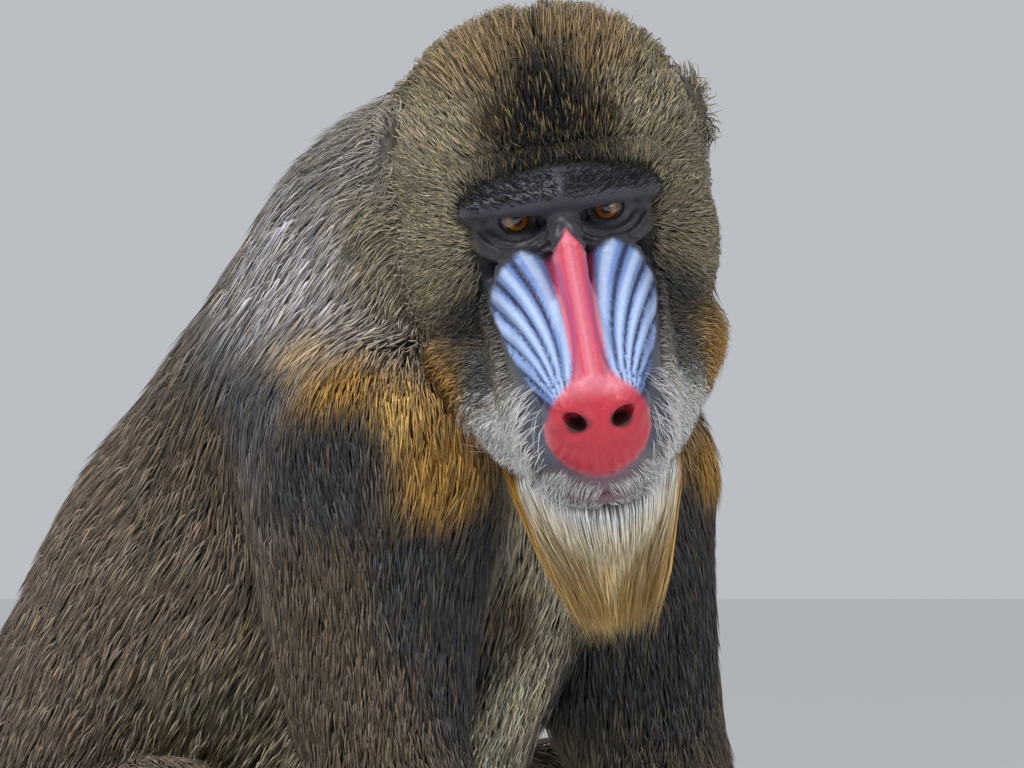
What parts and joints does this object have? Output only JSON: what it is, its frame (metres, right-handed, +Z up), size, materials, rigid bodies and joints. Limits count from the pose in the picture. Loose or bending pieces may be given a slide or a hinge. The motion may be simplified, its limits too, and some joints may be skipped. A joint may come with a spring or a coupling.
{
  "type": "mandrill",
  "caption": "Life-size adult male mandrill sitting on its rump with its hands on the floor and its head turned to its right, a still museum model.",
  "frame": {"origin": "on the floor, under the middle of the model's box", "axes": "+Z up; the body faces -Y and has its left side at +X; the head is turned about 46 degrees towards its right shoulder"},
  "size_m": [0.4824, 0.7672, 0.7235],
  "materials": {
    "olive_fur": "short dense fur, olive with fine black and yellow bands",
    "dark_fur": "long charcoal fur with a soft sheen",
    "brown_fur": "shaggy brown-grey fur",
    "pale_beard": "long golden beard with whitish tips",
    "blue_muzzle": "bare ridged skin, soft sheen",
    "red_nose": "bare skin, soft sheen",
    "black_skin": "bare creased skin, matt",
    "ear_skin": "bare skin, matt",
    "eyeball": "wet and glossy"
  },
  "bodies": {
    "root": {"head": "olive_fur", "crown": "olive_fur", "cheek_left": "olive_fur", "cheek_right": "olive_fur", "ear_left": "ear_skin", "ear_right": "ear_skin", "eye_left": "eyeball", "eye_right": "eyeball", "muzzle": "blue_muzzle", "nose": "red_nose", "lower_jaw": "pale_beard", "neck": "dark_fur", "chest": "brown_fur", "abdomen": "brown_fur", "rump": "brown_fur", "tail": "brown_fur", "upper_arm_left": "dark_fur", "upper_arm_right": "dark_fur", "forearm_left": "dark_fur", "forearm_right": "dark_fur", "hand_left": "black_skin", "hand_right": "black_skin", "thigh_left": "brown_fur", "thigh_right": "brown_fur", "shank_left": "brown_fur", "shank_right": "brown_fur", "foot_left": "black_skin", "foot_right": "black_skin"}
  },
  "joints": []
}
